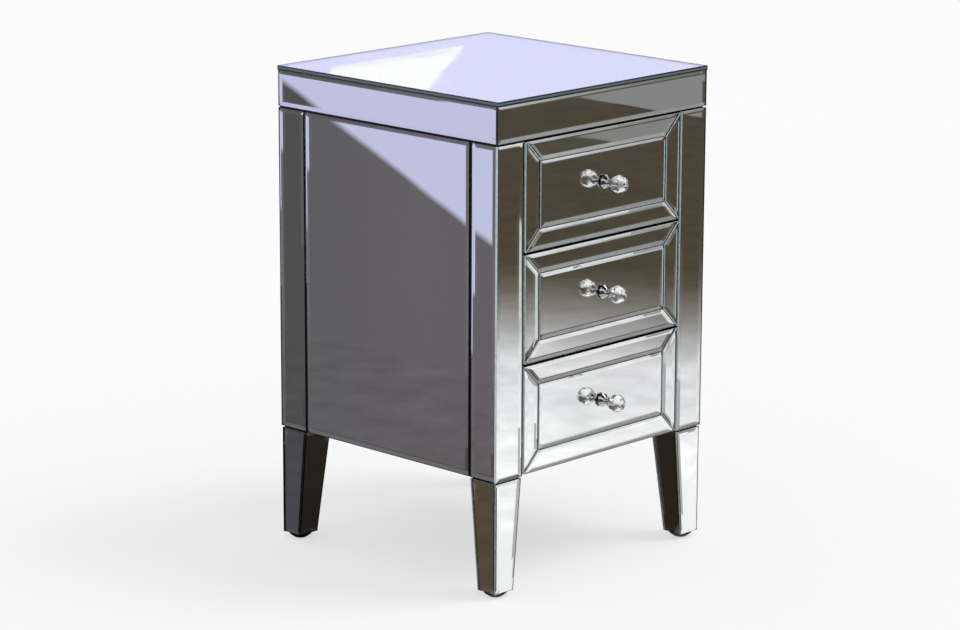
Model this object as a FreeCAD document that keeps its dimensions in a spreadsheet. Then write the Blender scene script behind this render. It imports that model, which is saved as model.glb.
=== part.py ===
import FreeCAD, Part
import os
import Sketcher

# Mirrored bedside chest: a board carcass clad in bevelled mirror glass, on four tapered mirrored legs,
# with three side-hung drawers. Millimetres, +Z up, drawers open towards -Y. The origin lies on the floor
# under the middle of the chest, measured over the knobs.

DRIVING_SIZES = [
    ("width", 400, "over the side mirrors"),
    ("depth", 400, "from the front mirrors to the back board's rear face"),
    ("drawer_pitch", 145, "from one drawer front to the next"),
    ("drawer_gap", 3, "round each drawer front"),
    ("post_width", 49, "corner post, from the side mirrors' face to the drawer opening"),
    ("apron_height", 48, "mirror strip under the top"),
    ("top_glass", 6, "thickness of the top mirror"),
    ("glass", 4, "thickness of the cladding mirrors"),
    ("panel_gap", 2, "dark joint between neighbouring cladding mirrors"),
    ("bevel_width", 5.2, "bevelled border of a mirror, across"),
    ("bevel_drop", 0.95, "bevelled border of a mirror, how far the rim lies below the face"),
    ("top_arris", 0.6, "small chamfer round the top mirror"),
    ("board", 15, "thickness of the carcass boards"),
    ("back_board", 6, "thickness of the back board"),
    ("stile_depth", 20, "stiles and frieze rail, front to back"),
    ("front_board", 15, "thickness of a drawer's front board"),
    ("front_play", 1, "between a drawer's front board and the bottom board behind it"),
    ("frame_strip", 27, "width of the mitred mirrors round a drawer front"),
    ("mirror_joint", 0.8, "joint between the mirrors of one drawer front"),
    ("side_play", 5, "between a drawer's side and the stile"),
    ("drawer_side", 12, "thickness of a drawer's sides and back"),
    ("drawer_tail", 30, "between a drawer's sides and the back board"),
    ("drawer_lift", 19, "underside of a drawer's sides above its pitch line"),
    ("drawer_headroom", 20, "top of a drawer's sides below the next pitch line"),
    ("back_drop", 6, "top of a drawer's back below its sides"),
    ("side_round", 3, "rounding along the top of a drawer's sides"),
    ("bottom_panel", 5, "thickness of a drawer's bottom panel"),
    ("bottom_lift", 8, "bottom panel above the underside of a drawer's sides"),
    ("housing", 5, "depth of the grooves that hold the bottom panel"),
    ("housing_play", 0.2, "clearance of the bottom panel in its grooves"),
    ("runner_height", 12, "height of a drawer runner"),
    ("runner_lift", 62, "underside of a runner above its drawer's pitch line"),
    ("runner_grip", 5, "how far a runner reaches into a drawer's side"),
    ("runner_groove", 6, "depth of the groove that takes the runner"),
    ("runner_rest", 0.3, "between the groove's upper face and the runner that carries it"),
    ("runner_under", 0.7, "below the runner in its groove"),
    ("leg_length", 149, "from the glide to the bottom board"),
    ("leg_top", 47, "leg over its mirrors at the top"),
    ("leg_foot", 33.5, "leg over its mirrors at the foot"),
    ("leg_glass", 3, "thickness of the leg mirrors"),
    ("leg_gap", 2, "dark joint between the leg mirrors and the bottom board"),
    ("leg_lift", 0.4, "leg mirrors above the core's foot"),
    ("leg_inset", 1, "leg mirrors behind the cladding mirrors above"),
    ("bolt_diameter", 8, "hanger bolt that holds a leg"),
    ("bolt_play", 0.15, "clearance round a leg bolt"),
    ("bolt_in_leg", 45, "length of a bolt inside the leg"),
    ("bolt_in_board", 12, "length of a bolt inside the bottom board"),
    ("glide_height", 7, "foot glide"),
    ("glide_margin", 1.75, "edge of a glide inside the leg's foot"),
    ("glide_rim", 2, "straight rim of a glide"),
    ("glide_tread", 16, "flat tread of a glide"),
    ("glide_round", 1.8, "rounding of a glide's edges"),
    ("knob_across", 23, "crystal over opposite facets"),
    ("knob_centre", 24.5, "middle of the crystal in front of the mirror"),
    ("crystal_waste", 0.8, "how far the uncut crystal stands above its facets"),
    ("seat_cut", 1.3, "how much deeper the crystal's rear seat is cut than its facets"),
    ("collar_flange", 18, "collar against the mirror"),
    ("collar_rim", 1.6, "straight rim of the collar's flange"),
    ("collar_waist", 8.4, "waist of the collar"),
    ("waist_length", 2.4, "straight part of the collar's waist"),
    ("cup_flare", 3.9, "flare of the collar from its waist to its cup"),
    ("cup_rim", 1.4, "straight rim of the collar's cup"),
    ("collar_cup", 13.6, "collar against the crystal"),
    ("collar_sweep", 3.5, "rounding of the collar's waist"),
    ("collar_ease", 0.5, "rounding of the collar's rims"),
    ("screw_diameter", 4, "knob screw"),
    ("screw_play", 0.2, "clearance round the knob screw"),
    ("screw_grip", 8, "length of the knob screw inside the crystal"),
    ("screw_head", 8.5, "diameter of the knob screw's head"),
    ("screw_head_height", 2.8, "height of the knob screw's head"),
    ("screw_head_round", 1, "sloping edge of the knob screw's head"),
]

doc = FreeCAD.newDocument("bedside_chest")
sheet = doc.addObject("Spreadsheet::Sheet", "sizes")
for row, (alias, size, note) in enumerate(DRIVING_SIZES, start=1):
    sheet.set(f"A{row}", note)
    sheet.set(f"B{row}", str(size))
    sheet.setAlias(f"B{row}", alias)
doc.recompute()

# Planes that several pieces share, as expressions over the sheet.
FACET_REACH = "(sizes.knob_across / 2)"
KNOB_REACH = f"(sizes.knob_centre + {FACET_REACH})"
SIDE_FACE = "(sizes.width / 2)"
SIDE_CORE = f"({SIDE_FACE} - sizes.glass)"
SIDE_INNER = f"({SIDE_CORE} - sizes.board)"
OPENING = f"({SIDE_FACE} - sizes.post_width)"
FRONT_FACE = f"(({KNOB_REACH} - sizes.depth) / 2)"
FRONT_CORE = f"({FRONT_FACE} + sizes.glass)"
STILE_BACK = f"({FRONT_CORE} + sizes.stile_depth)"
REAR_FACE = f"({FRONT_FACE} + sizes.depth)"
REAR_CORE = f"({REAR_FACE} - sizes.back_board)"
BODY_BOTTOM = "(sizes.glide_height + sizes.leg_length)"
FLOOR_TOP = f"({BODY_BOTTOM} + sizes.board)"
APRON_LINE = f"({BODY_BOTTOM} + 3 * sizes.drawer_pitch)"
BODY_TOP = f"({APRON_LINE} + sizes.panel_gap / 2 + sizes.apron_height)"
TOP_BOARD_UNDER = f"({BODY_TOP} - sizes.board)"

finished = []


def finish(piece, label):
    """Give a piece the name that its file carries, and keep it for the hand-over at the end."""
    piece.Label = label
    finished.append(piece)
    return piece


def value(expression):
    """The number that an expression over the sheet has now."""
    return float(sheet.evalExpression(expression))


def place(piece, x="0", y="0", z="0"):
    """Tie a piece's position to the sheet."""
    for axis, expression in zip("xyz", (x, y, z)):
        piece.setExpression(f"Placement.Base.{axis}", expression)
    return piece


def turn(piece, axis, angle):
    """Turn a piece about one axis through its own origin; the angle is an expression in degrees."""
    piece.Placement.Rotation = FreeCAD.Rotation(axis, 1)
    piece.setExpression("Placement.Rotation.Angle", angle)
    return piece


def board(name, x, y, z):
    """A square-edged board between three pairs of planes."""
    piece = doc.addObject("Part::Box", name)
    for side, (low, high) in zip(("Length", "Width", "Height"), (x, y, z)):
        piece.setExpression(side, f"({high}) - ({low})")
    return place(piece, x[0], y[0], z[0])


def new_body(name):
    return doc.addObject("PartDesign::Body", name)


def new_sketch(body, plane, name):
    """An empty sketch on one of the body's own origin planes."""
    sketch = body.newObject("Sketcher::SketchObject", name)
    support = [feature for feature in body.Origin.OriginFeatures if feature.Role == plane]
    sketch.AttachmentSupport = [(support[0], "")]
    sketch.MapMode = "FlatFace"
    return sketch


def tie_point(sketch, line, end, across, up):
    """Hold one end of a sketch line at a place given by two expressions."""
    for kind, axis, expression in (("DistanceX", -2, across), ("DistanceY", -1, up)):
        if expression == "0":
            sketch.addConstraint(Sketcher.Constraint("PointOnObject", line, end, axis))
        else:
            number = sketch.addConstraint(Sketcher.Constraint(kind, -1, 1, line, end, value(expression)))
            sketch.setExpression(f"Constraints[{number}]", expression)


def outline(body, plane, corners, name):
    """A closed straight-sided outline whose corners are pairs of expressions."""
    sketch = new_sketch(body, plane, name)
    points = [FreeCAD.Vector(value(across), value(up), 0) for across, up in corners]
    for start, end in zip(points, points[1:] + points[:1]):
        sketch.addGeometry(Part.LineSegment(start, end))
    for line, (across, up) in enumerate(corners):
        sketch.addConstraint(Sketcher.Constraint("Coincident", line, 1, (line - 1) % len(corners), 2))
        tie_point(sketch, line, 1, across, up)
    return sketch


def circle(body, plane, across, up, diameter, name):
    """A circle whose middle and diameter are expressions."""
    sketch = new_sketch(body, plane, name)
    middle = FreeCAD.Vector(value(across), value(up), 0)
    sketch.addGeometry(Part.Circle(middle, FreeCAD.Vector(0, 0, 1), value(diameter) / 2))
    tie_point(sketch, 0, 3, across, up)
    number = sketch.addConstraint(Sketcher.Constraint("Diameter", 0, value(diameter)))
    sketch.setExpression(f"Constraints[{number}]", diameter)
    return sketch


def pad(body, sketch, length, reverse=False):
    feature = body.newObject("PartDesign::Pad", "pad")
    feature.Profile = sketch
    feature.Reversed = reverse
    feature.setExpression("Length", length)
    return feature


def drill(body, sketch):
    """A cut right through the body, both ways from the sketch."""
    feature = body.newObject("PartDesign::Pocket", "drilling")
    feature.Profile = sketch
    feature.Type = "ThroughAll"
    feature.SideType = "Symmetric"
    return feature


def turned(body, sketch):
    """A turned piece: the sketch revolved round its upright axis."""
    feature = body.newObject("PartDesign::Revolution", "turning")
    feature.Profile = sketch
    feature.ReferenceAxis = (sketch, ["V_Axis"])
    feature.Angle = 360
    return feature


def ease_rings(body, feature, rings, radius):
    """Round the circular edges of a turned piece, each found by its own radius and height."""
    doc.recompute()
    named = []
    for across, up in rings:
        for number, edge in enumerate(feature.Shape.Edges, start=1):
            round_edge = isinstance(edge.Curve, Part.Circle)
            if round_edge and abs(edge.Curve.Radius - value(across)) < 1e-3 \
                    and abs(edge.Curve.Center.z - value(up)) < 1e-3:
                named.append(f"Edge{number}")
    easing = body.newObject("PartDesign::Fillet", "easing")
    easing.Base = (feature, named)
    easing.setExpression("Radius", radius)
    return easing


def group(name, members):
    piece = doc.addObject("Part::Compound", name)
    piece.Links = members
    return piece


# Bevelled mirrors. The outline is drawn at the depth where the bevel meets the rim: the plain thickness
# lies behind it, and the border of the glass in front of it is ground down to it. An outline on XZ faces
# -Y and one on YZ faces +X, or the other way round when it is reversed.
FACING = {"XZ_Plane": FreeCAD.Vector(0, -1, 0), "YZ_Plane": FreeCAD.Vector(1, 0, 0)}


def bevelled_mirror(name, plane, corners, thickness="sizes.glass", reverse=False):
    body = new_body(name)
    cut_sheet = pad(body, outline(body, plane, corners, "mirror_outline"), "sizes.bevel_drop", reverse)
    cut_sheet.SideType = "Two sides"
    cut_sheet.setExpression("Length2", f"{thickness} - sizes.bevel_drop")
    doc.recompute()
    facing = -FACING[plane] if reverse else FACING[plane]
    face = max(cut_sheet.Shape.Faces, key=lambda side: side.CenterOfMass.dot(facing))
    border = [f"Edge{number}" for number, edge in enumerate(cut_sheet.Shape.Edges, start=1)
              if any(edge.isSame(rim) for rim in face.Edges)]
    bevel = body.newObject("PartDesign::Chamfer", "bevel")
    bevel.Base = (cut_sheet, border)
    bevel.ChamferType = "Two distances"
    bevel.setExpression("Size", "sizes.bevel_drop")
    bevel.setExpression("Size2", "sizes.bevel_width")
    return body


def rectangle(across, up):
    return [("0", "0"), (across, "0"), (across, up), ("0", up)]


# Bottom board: a full floor to the chest, cut back between the posts so that the lowest drawer front
# reaches down to its underside, and drilled at the corners for the leg bolts.
LEG_FACE = f"({SIDE_FACE} - sizes.leg_inset)"
LEG_MIDDLE = "(sizes.leg_glass + (sizes.leg_top - 2 * sizes.leg_glass) / 2)"
NOTCH = "(sizes.front_board + sizes.front_play)"
bottom_board = new_body("bottom_board")
board_width = f"(2 * {SIDE_CORE})"
board_depth = f"({REAR_CORE} - {FRONT_CORE})"
post_left = f"({SIDE_CORE} - {OPENING})"
post_right = f"({SIDE_CORE} + {OPENING})"
pad(bottom_board, outline(bottom_board, "XY_Plane", [
    ("0", "0"), (post_left, "0"), (post_left, NOTCH), (post_right, NOTCH), (post_right, "0"),
    (board_width, "0"), (board_width, board_depth), ("0", board_depth)], "floor_outline"), "sizes.board")
bolt_bore = "(sizes.bolt_diameter + 2 * sizes.bolt_play)"
bolt_edge = f"(sizes.leg_inset + {LEG_MIDDLE} - sizes.glass)"
bolt_back = f"({board_depth} + sizes.back_board - sizes.leg_inset - {LEG_MIDDLE})"
for across in (bolt_edge, f"({board_width} - {bolt_edge})"):
    for back in (bolt_edge, bolt_back):
        drill(bottom_board, circle(bottom_board, "XY_Plane", across, back, bolt_bore, "bolt_bore"))
finish(place(bottom_board, f"-{SIDE_CORE}", FRONT_CORE, BODY_BOTTOM), "bottom_board")

# Side boards stand on the bottom board, the top board lies on them, and the back board closes the rear.
upright = (FLOOR_TOP, TOP_BOARD_UNDER)
finish(board("left_side_board", (f"-{SIDE_CORE}", f"-{SIDE_INNER}"), (FRONT_CORE, REAR_CORE), upright),
       "left_side_board")
finish(board("right_side_board", (SIDE_INNER, SIDE_CORE), (FRONT_CORE, REAR_CORE), upright),
       "right_side_board")
finish(board("top_board", (f"-{SIDE_CORE}", SIDE_CORE), (FRONT_CORE, REAR_CORE), (TOP_BOARD_UNDER, BODY_TOP)),
       "top_board")
finish(board("back_board", (f"-{SIDE_CORE}", SIDE_CORE), (REAR_CORE, REAR_FACE), (BODY_BOTTOM, BODY_TOP)),
       "back_board")

# Front frame: a stile beside each side board carries the front post mirrors, and the frieze rail over
# them carries the front apron mirror.
frame_depth = (FRONT_CORE, STILE_BACK)
stile_height = (FLOOR_TOP, APRON_LINE)
finish(board("left_stile", (f"-{SIDE_INNER}", f"-{OPENING}"), frame_depth, stile_height), "left_stile")
finish(board("right_stile", (OPENING, SIDE_INNER), frame_depth, stile_height), "right_stile")
finish(board("frieze_rail", (f"-{SIDE_INNER}", SIDE_INNER), frame_depth, (APRON_LINE, TOP_BOARD_UNDER)),
       "frieze_rail")

# Drawer runners: hardwood battens fixed to the side boards behind the stiles. Their inner edges carry the
# grooved drawer sides.
DRAWERS = ("bottom_drawer", "middle_drawer", "top_drawer")
BOX_SIDE = f"({OPENING} - sizes.side_play)"
RUNNER_TIP = f"({BOX_SIDE} - sizes.runner_grip)"
runners = []
for level, drawer in enumerate(DRAWERS):
    runner_under = f"({BODY_BOTTOM} + {level} * sizes.drawer_pitch + sizes.runner_lift)"
    runner_height = (runner_under, f"({runner_under} + sizes.runner_height)")
    for hand, across in (("left", (f"-{SIDE_INNER}", f"-{RUNNER_TIP}")), ("right", (RUNNER_TIP, SIDE_INNER))):
        runners.append(board(f"{drawer}_{hand}_runner", across, (STILE_BACK, REAR_CORE), runner_height))
finish(group("drawer_runners", runners), "drawer_runners")

# Cladding mirrors of the carcass. The front ones lap over the ends of the side ones.
RIM_FRONT = f"({FRONT_FACE} + sizes.bevel_drop)"
RIM_SIDE = f"({SIDE_FACE} - sizes.bevel_drop)"
APRON_BOTTOM = f"({APRON_LINE} + sizes.panel_gap / 2)"
SIDE_LENGTH = f"({REAR_FACE} - {FRONT_CORE})"
SIDE_PANEL_HEIGHT = f"({APRON_LINE} - sizes.panel_gap / 2 - {BODY_BOTTOM})"

top_mirror = board("top_sheet", (f"-{SIDE_FACE}", SIDE_FACE), (FRONT_FACE, REAR_FACE),
                   (BODY_TOP, f"({BODY_TOP} + sizes.top_glass)"))
doc.recompute()
top_edges = doc.addObject("Part::Chamfer", "top_mirror")
top_edges.Base = top_mirror
top_z = top_mirror.Shape.BoundBox.ZMax
arris = value("sizes.top_arris")
top_edges.Edges = [(number, arris, arris) for number, edge in enumerate(top_mirror.Shape.Edges, start=1)
                   if edge.BoundBox.ZMin > top_z - arris]
finish(top_edges, "top_mirror")

front_apron = bevelled_mirror("front_apron_mirror", "XZ_Plane",
                              rectangle("sizes.width", "sizes.apron_height"))
finish(place(front_apron, f"-{SIDE_FACE}", RIM_FRONT, APRON_BOTTOM), "front_apron_mirror")

post_panel = rectangle("sizes.post_width", SIDE_PANEL_HEIGHT)
for hand, across in (("left", f"-{SIDE_FACE}"), ("right", OPENING)):
    post = bevelled_mirror(f"front_{hand}_post_mirror", "XZ_Plane", post_panel)
    finish(place(post, across, RIM_FRONT, BODY_BOTTOM), f"front_{hand}_post_mirror")

front_strip = "(sizes.post_width - sizes.glass - sizes.panel_gap / 2)"
rear_strip = "(sizes.post_width - sizes.panel_gap / 2)"
centre_start = f"({FRONT_FACE} + sizes.post_width + sizes.panel_gap / 2)"
centre_length = "(sizes.depth - 2 * sizes.post_width - sizes.panel_gap)"
rear_start = f"({REAR_FACE} - {rear_strip})"
for hand, rim, reverse in (("left", f"-{RIM_SIDE}", True), ("right", RIM_SIDE, False)):
    apron = bevelled_mirror(f"{hand}_apron_mirror", "YZ_Plane", rectangle(SIDE_LENGTH, "sizes.apron_height"),
                            reverse=reverse)
    finish(place(apron, rim, FRONT_CORE, APRON_BOTTOM), f"{hand}_apron_mirror")
    centre = bevelled_mirror(f"{hand}_side_mirror", "YZ_Plane", rectangle(centre_length, SIDE_PANEL_HEIGHT),
                             reverse=reverse)
    finish(place(centre, rim, centre_start, BODY_BOTTOM), f"{hand}_side_mirror")
    strips = []
    for end, start, length in (("front", FRONT_CORE, front_strip), ("rear", rear_start, rear_strip)):
        strip = bevelled_mirror(f"{hand}_{end}_strip", "YZ_Plane", rectangle(length, SIDE_PANEL_HEIGHT),
                                reverse=reverse)
        strips.append(place(strip, rim, start, BODY_BOTTOM))
    finish(group(f"{hand}_post_mirrors", strips), f"{hand}_post_mirrors")

# Legs. In a leg's own frame its outer corner is the origin: the two outer faces look along -X and -Y and
# stand upright, the two inner faces lean in towards the foot. Each leg is the same piece, a quarter turn on,
# with its front and rear mirrors lapping over the edges of the side ones.
MIRROR_LENGTH = "(sizes.leg_length - sizes.leg_gap - sizes.leg_lift)"
LEAN = f"((sizes.leg_top - sizes.leg_foot) / {MIRROR_LENGTH})"
LEAN_ANGLE = f"atan({LEAN})"
INNER_GLASS = f"(sizes.leg_glass / cos({LEAN_ANGLE}))"
SLANT_LENGTH = f"({MIRROR_LENGTH} / cos({LEAN_ANGLE}))"
FOOT_INNER = f"(sizes.leg_foot - {INNER_GLASS})"
TOP_INNER = f"(sizes.leg_top - {INNER_GLASS})"
CORE_FOOT = f"({FOOT_INNER} - {LEAN} * sizes.leg_lift)"
CORE_TOP = f"({TOP_INNER} + {LEAN} * sizes.leg_gap)"
OUTER_RIM = "sizes.bevel_drop"
INNER_RIM = f"(sizes.leg_foot - sizes.bevel_drop / cos({LEAN_ANGLE}))"
X_AXIS = FreeCAD.Vector(1, 0, 0)
Y_AXIS = FreeCAD.Vector(0, 1, 0)
Z_AXIS = FreeCAD.Vector(0, 0, 1)
LEGS = {
    "front_left": (f"-{LEG_FACE}", f"({FRONT_FACE} + sizes.leg_inset)", 0, "XZ_Plane"),
    "front_right": (LEG_FACE, f"({FRONT_FACE} + sizes.leg_inset)", 90, "YZ_Plane"),
    "rear_right": (LEG_FACE, f"({REAR_FACE} - sizes.leg_inset)", 180, "XZ_Plane"),
    "rear_left": (f"-{LEG_FACE}", f"({REAR_FACE} - sizes.leg_inset)", 270, "YZ_Plane"),
}


def square_section(body, near, far, height, name):
    """A square with one corner on the leg's diagonal at each of two distances, at a height up the leg."""
    sketch = outline(body, "XY_Plane", [(near, near), (far, near), (far, far), (near, far)], name)
    sketch.setExpression("AttachmentOffset.Base.z", height)
    return sketch


def leg_core(name):
    """Tapered timber core, bored up the middle of its top for the leg bolt."""
    body = new_body(name)
    top_height = "(sizes.leg_length - sizes.leg_lift)"
    foot = square_section(body, "sizes.leg_glass", CORE_FOOT, "-sizes.leg_lift", "foot_section")
    top = square_section(body, "sizes.leg_glass", CORE_TOP, top_height, "top_section")
    loft = body.newObject("PartDesign::AdditiveLoft", "taper")
    loft.Profile = foot
    loft.Sections = [top]
    loft.Ruled = True
    bore = circle(body, "XY_Plane", LEG_MIDDLE, LEG_MIDDLE, bolt_bore, "bolt_bore")
    bore.setExpression("AttachmentOffset.Base.z", top_height)
    boring = body.newObject("PartDesign::Pocket", "boring")
    boring.Profile = bore
    boring.setExpression("Length", "sizes.bolt_in_leg + sizes.bolt_play")
    return body


def leg_mirrors(name, lapping_plane):
    """Four bevelled mirrors: the pair on the lapping plane covers the edges of the other pair."""
    foot = {True: ("0", "sizes.leg_foot"), False: ("sizes.leg_glass", FOOT_INNER)}
    top = {True: ("0", "sizes.leg_top"), False: ("sizes.leg_glass", TOP_INNER)}
    panels = []
    for plane, axis, lean in (("XZ_Plane", X_AXIS, f"-{LEAN_ANGLE}"), ("YZ_Plane", Y_AXIS, LEAN_ANGLE)):
        laps = plane == lapping_plane
        outer_reversed = plane == "YZ_Plane"
        for face, length in (("outer", MIRROR_LENGTH), ("inner", SLANT_LENGTH)):
            foot_near, foot_far = foot[laps]
            top_near, top_far = top[laps]
            corners = [(foot_near, "0"), (foot_far, "0"), (top_far, length), (top_near, length)]
            inner = face == "inner"
            reverse = outer_reversed != inner
            panel = bevelled_mirror(f"{name}_{face}", plane, corners, "sizes.leg_glass", reverse)
            rim = INNER_RIM if inner else OUTER_RIM
            if inner:
                turn(panel, axis, lean)
            place(panel, *(("0", rim, "0") if plane == "XZ_Plane" else (rim, "0", "0")))
            panels.append(panel)
    return group(name, panels)


for corner, (across, along, quarter, lapping_plane) in LEGS.items():
    for piece in (leg_core(f"{corner}_leg_core"), leg_mirrors(f"{corner}_leg_mirrors", lapping_plane)):
        turn(piece, Z_AXIS, str(quarter))
        place(piece, across, along, "sizes.glide_height + sizes.leg_lift")
        finish(piece, piece.Name)

# Foot glides and leg bolts stand on the middle of each leg. The glide is a black moulded dome.
FOOT_MIDDLE = "(sizes.leg_foot / 2)"
LEG_SIDES = ((-1, FRONT_FACE, 1), (1, FRONT_FACE, 1), (1, REAR_FACE, -1), (-1, REAR_FACE, -1))
glides = []
bolts = []
for side, face, inward in LEG_SIDES:
    glide = new_body("foot_glide")
    glide_edge = f"({FOOT_MIDDLE} - sizes.glide_margin)"
    rim_low = "(sizes.glide_height - sizes.glide_rim)"
    dome = turned(glide, outline(glide, "XZ_Plane", [
        ("0", "0"), ("sizes.glide_tread / 2", "0"), (glide_edge, rim_low), (glide_edge, "sizes.glide_height"),
        ("0", "sizes.glide_height")], "dome"))
    ease_rings(glide, dome, [("sizes.glide_tread / 2", "0"), (glide_edge, rim_low)], "sizes.glide_round")
    glides.append(place(glide, f"{side} * ({LEG_FACE} - {FOOT_MIDDLE})",
                        f"{face} + {inward} * (sizes.leg_inset + {FOOT_MIDDLE})", "0"))
    bolt = doc.addObject("Part::Cylinder", "leg_bolt")
    bolt.setExpression("Radius", "sizes.bolt_diameter / 2")
    bolt.setExpression("Height", "sizes.bolt_in_leg + sizes.bolt_in_board")
    bolts.append(place(bolt, f"{side} * ({LEG_FACE} - {LEG_MIDDLE})",
                       f"{face} + {inward} * (sizes.leg_inset + {LEG_MIDDLE})",
                       f"{BODY_BOTTOM} - sizes.bolt_in_leg"))
finish(group("foot_glides", glides), "foot_glides")
finish(group("leg_bolts", bolts), "leg_bolts")

# Drawers. Everything is placed from the drawer's pitch line and the front's lower left corner.
FRONT_WIDTH = f"(2 * {OPENING} - 2 * sizes.drawer_gap)"
FRONT_HEIGHT = "(sizes.drawer_pitch - sizes.drawer_gap)"
FRONT_LEFT = f"(sizes.drawer_gap - {OPENING})"
FRONT_BACK = f"({FRONT_CORE} + sizes.front_board)"
MITRE = "(sizes.mirror_joint / sqrt(2))"
STRIP = "sizes.frame_strip"
INSET = "(sizes.frame_strip + sizes.mirror_joint)"
SCREW_BORE = "(sizes.screw_diameter + 2 * sizes.screw_play)"
SEAT_REACH = f"({FACET_REACH} - sizes.seat_cut)"
COLLAR_LENGTH = f"(sizes.knob_centre - {SEAT_REACH})"
RAW_RADIUS = f"({FACET_REACH} + sizes.crystal_waste)"
WASTE_TOP = f"({RAW_RADIUS} + sizes.crystal_waste)"
WASTE_HALF = f"(sqrt({RAW_RADIUS} * {RAW_RADIUS} - {FACET_REACH} * {FACET_REACH}) + sizes.crystal_waste)"
HOUSING_HEIGHT = "(sizes.bottom_panel + 2 * sizes.housing_play)"
HOUSING_TOP = f"(sizes.bottom_lift + {HOUSING_HEIGHT})"
DRAWER_HEIGHT = "(sizes.drawer_pitch - sizes.drawer_lift - sizes.drawer_headroom)"
DRAWER_LENGTH = f"({REAR_CORE} - sizes.drawer_tail - {FRONT_BACK})"
GROOVE_LOW = "(sizes.runner_lift - sizes.drawer_lift - sizes.runner_under)"
GROOVE_HIGH = "(sizes.runner_lift - sizes.drawer_lift + sizes.runner_height + sizes.runner_rest)"


def front_board(name):
    """Front board, grooved across its back for the bottom panel and drilled for the knob screw."""
    body = new_body(name)
    housing_low = "(sizes.drawer_lift - sizes.drawer_gap / 2 + sizes.bottom_lift)"
    housing_left = f"({FRONT_WIDTH} / 2 - {BOX_SIDE} + sizes.drawer_side - sizes.housing)"
    housing_right = f"({FRONT_WIDTH} / 2 + {BOX_SIDE} - sizes.drawer_side + sizes.housing)"
    housing_high = f"({housing_low} + {HOUSING_HEIGHT})"
    pad(body, outline(body, "XZ_Plane", rectangle(FRONT_WIDTH, FRONT_HEIGHT), "front_outline"),
        "sizes.front_board")
    drill(body, circle(body, "XZ_Plane", f"{FRONT_WIDTH} / 2", f"{FRONT_HEIGHT} / 2", SCREW_BORE,
                       "screw_bore"))
    groove = body.newObject("PartDesign::Pocket", "bottom_groove")
    groove.Profile = outline(body, "XZ_Plane", [
        (housing_left, housing_low), (housing_right, housing_low), (housing_right, housing_high),
        (housing_left, housing_high)], "groove_outline")
    groove.Reversed = True
    groove.setExpression("Length", "sizes.housing")
    return body


def frame_mirrors(name):
    """Four mitred strips, each with its own bevels, round the centre mirror."""
    long_out = f"({FRONT_WIDTH} - {MITRE})"
    long_in = f"({FRONT_WIDTH} - {STRIP} - {MITRE})"
    tall_out = f"({FRONT_HEIGHT} - {MITRE})"
    tall_in = f"({FRONT_HEIGHT} - {STRIP} - {MITRE})"
    near_in = f"({STRIP} + {MITRE})"
    strips = {
        "lower": ([(MITRE, "0"), (long_out, "0"), (long_in, STRIP), (near_in, STRIP)], "0", "0"),
        "upper": ([(near_in, "0"), (long_in, "0"), (long_out, STRIP), (MITRE, STRIP)],
                  "0", f"({FRONT_HEIGHT} - {STRIP})"),
        "left": ([("0", MITRE), (STRIP, near_in), (STRIP, tall_in), ("0", tall_out)], "0", "0"),
        "right": ([("0", near_in), (STRIP, MITRE), (STRIP, tall_out), ("0", tall_in)],
                  f"({FRONT_WIDTH} - {STRIP})", "0"),
    }
    return {side: (bevelled_mirror(f"{name}_{side}", "XZ_Plane", corners), across, up)
            for side, (corners, across, up) in strips.items()}


def centre_mirror(name):
    """Centre mirror, drilled for the knob screw."""
    body = bevelled_mirror(name, "XZ_Plane",
                           rectangle(f"({FRONT_WIDTH} - 2 * {INSET})", f"({FRONT_HEIGHT} - 2 * {INSET})"))
    drill(body, circle(body, "XZ_Plane", f"{FRONT_WIDTH} / 2 - {INSET}", f"{FRONT_HEIGHT} / 2 - {INSET}",
                       SCREW_BORE, "screw_bore"))
    return body


def drawer_side(name):
    """Side with a runner groove along its outer face and a bottom groove along its inner face."""
    body = new_body(name)
    thick = "sizes.drawer_side"
    groove_bed = "(sizes.drawer_side - sizes.housing)"
    corners = [
        ("0", "0"), (thick, "0"), (thick, "sizes.bottom_lift"), (groove_bed, "sizes.bottom_lift"),
        (groove_bed, HOUSING_TOP), (thick, HOUSING_TOP), (thick, DRAWER_HEIGHT),
        ("0", DRAWER_HEIGHT), ("0", GROOVE_HIGH), ("sizes.runner_groove", GROOVE_HIGH),
        ("sizes.runner_groove", GROOVE_LOW), ("0", GROOVE_LOW)]
    section = pad(body, outline(body, "XZ_Plane", corners, "section"), DRAWER_LENGTH, True)
    doc.recompute()
    top = section.Shape.BoundBox.ZMax
    long_edges = [f"Edge{number}" for number, edge in enumerate(section.Shape.Edges, start=1)
                  if edge.CenterOfMass.z > top - 1e-3 and edge.BoundBox.YLength > edge.BoundBox.XLength]
    rounding = body.newObject("PartDesign::Fillet", "rounding")
    rounding.Base = (section, long_edges)
    rounding.setExpression("Radius", "sizes.side_round")
    return body


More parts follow.
